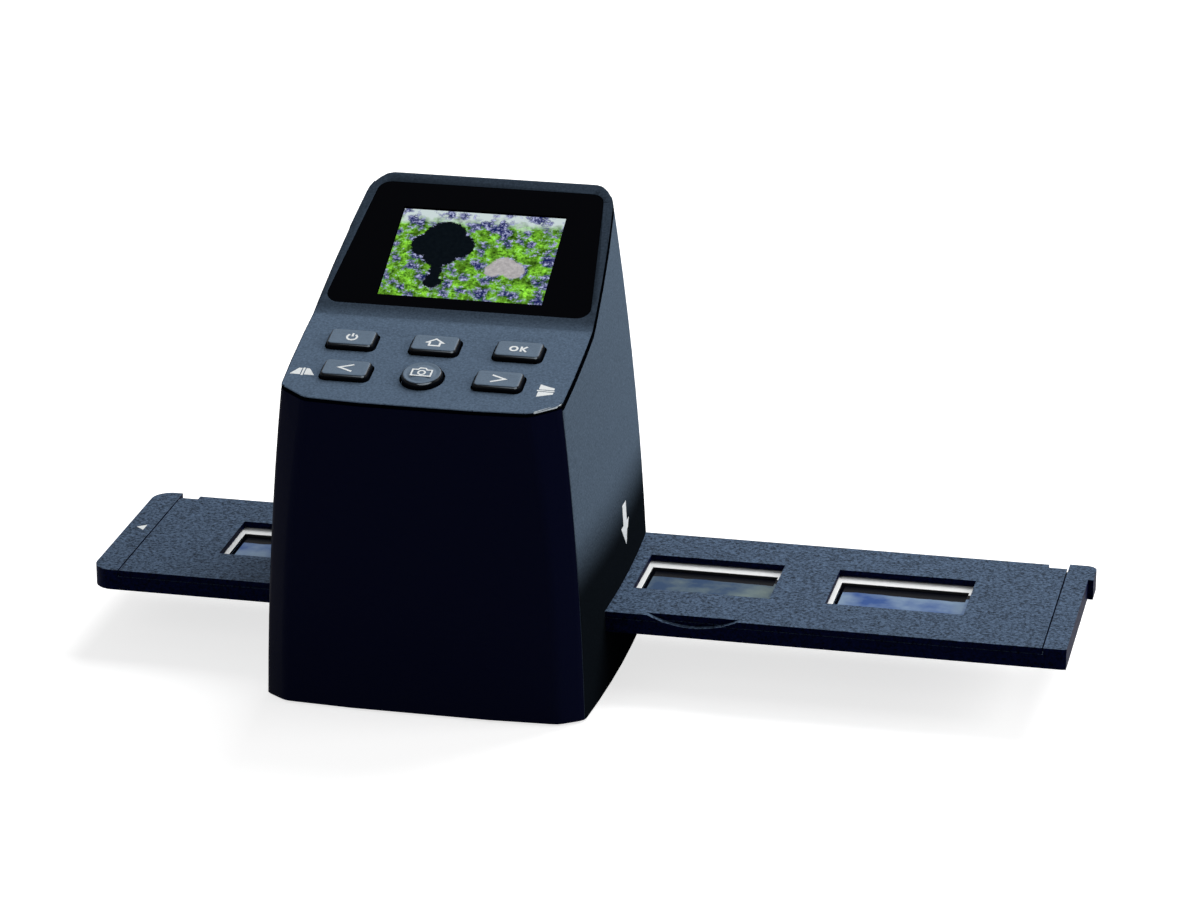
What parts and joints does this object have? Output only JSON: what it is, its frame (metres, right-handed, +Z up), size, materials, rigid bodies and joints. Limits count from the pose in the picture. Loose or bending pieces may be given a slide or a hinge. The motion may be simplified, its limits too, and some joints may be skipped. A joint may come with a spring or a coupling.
{
  "type": "film and slide scanner",
  "caption": "Desktop film and slide scanner with a sloping key deck, a tilted screen and a long hinged-cover slide tray that slides through the housing from side to side.",
  "frame": {"origin": "on the table, under the middle of the whole part's box with the tray at rest; the tray's middle lies on x = 0 and the housing's own middle at x = -37.3 mm, y = -2.47 mm", "axes": "+X along the tray towards its longer free end, to the right for someone facing the keys; +Y from the front panel to the rear wall; +Z up"},
  "size_m": [0.2904, 0.1021, 0.1318],
  "materials": {
    "case_black": "moulded black plastic underside",
    "foot_rubber": "dark grey rubber",
    "screw_steel": "bright zinc-plated steel",
    "case_matte": "fine matte blue-black plastic",
    "panel_gloss": "polished black plastic",
    "screen_glass": "clear dark-tinted screen window",
    "display": "colour display behind its polariser",
    "circuit_board": "green solder mask",
    "chip_resin": "black moulded resin",
    "key_plastic": "satin moulded key with a pale pictogram",
    "switch_plastic": "black switch housing",
    "port_steel": "tin-plated sheet steel",
    "inner_plastic": "black moulded plastic",
    "spring_steel": "drawn spring wire",
    "barrel_aluminium": "black anodised aluminium",
    "lens_glass": "coated optical glass",
    "lamp_white": "white reflective plastic",
    "led_resin": "yellow phosphor resin",
    "diffuser_acrylic": "opal acrylic",
    "tray_matte": "fine matte blue-black plastic",
    "mount_white": "white moulded slide mount",
    "film": "developed film"
  },
  "bodies": {
    "housing": {"base_plate": "case_black", "rubber_feet": "foot_rubber", "case_screws": "screw_steel", "chassis_screws": "screw_steel", "body_shell": "case_matte", "front_panel": "panel_gloss", "top_bezel": "case_matte", "screen_glass": "screen_glass", "display_module": "display", "main_board": "circuit_board", "main_board_chips": "chip_resin", "main_board_screws": "screw_steel", "key_board": "circuit_board", "key_switches": "switch_plastic", "key_board_screws": "screw_steel", "port_board": "circuit_board", "port_board_screws": "screw_steel", "usb_port": "port_steel", "card_socket": "port_steel", "tray_guide": "inner_plastic", "detent_ball": "screw_steel", "detent_spring": "spring_steel", "optics_tower": "inner_plastic", "tower_screws": "screw_steel", "lens_barrel": "barrel_aluminium", "lens_elements": "lens_glass", "sensor_board": "circuit_board", "sensor_chip": "chip_resin", "sensor_screws": "screw_steel", "lamp_board": "lamp_white", "lamp_leds": "led_resin", "lamp_box": "lamp_white", "lamp_diffuser": "diffuser_acrylic"},
    "tray": {"tray_base": "tray_matte", "tray_cover": "tray_matte", "tray_hinge_pins": "screw_steel", "slide_mounts": "mount_white", "slide_films": "film"},
    "power_key": {"power_key": "key_plastic"},
    "home_key": {"home_key": "key_plastic"},
    "ok_key": {"ok_key": "key_plastic"},
    "left_key": {"left_key": "key_plastic"},
    "capture_key": {"capture_key": "key_plastic"},
    "right_key": {"right_key": "key_plastic"}
  },
  "joints": [
    {"name": "tray_slide", "type": "slide", "parent": "housing", "child": "tray", "axis": [1, 0, 0], "range_m": [-0.128, 0.0588]},
    {"name": "power_key_press", "type": "slide", "parent": "housing", "child": "power_key", "axis": [0, 0.2436, -0.9699], "range_m": [0, 0.0006], "stiffness_N_per_m": 800},
    {"name": "home_key_press", "type": "slide", "parent": "housing", "child": "home_key", "axis": [0, 0.2436, -0.9699], "range_m": [0, 0.0006], "stiffness_N_per_m": 800},
    {"name": "ok_key_press", "type": "slide", "parent": "housing", "child": "ok_key", "axis": [0, 0.2436, -0.9699], "range_m": [0, 0.0006], "stiffness_N_per_m": 800},
    {"name": "left_key_press", "type": "slide", "parent": "housing", "child": "left_key", "axis": [0, 0.2436, -0.9699], "range_m": [0, 0.0006], "stiffness_N_per_m": 800},
    {"name": "capture_key_press", "type": "slide", "parent": "housing", "child": "capture_key", "axis": [0, 0.2436, -0.9699], "range_m": [0, 0.0006], "stiffness_N_per_m": 800},
    {"name": "right_key_press", "type": "slide", "parent": "housing", "child": "right_key", "axis": [0, 0.2436, -0.9699], "range_m": [0, 0.0006], "stiffness_N_per_m": 800}
  ]
}
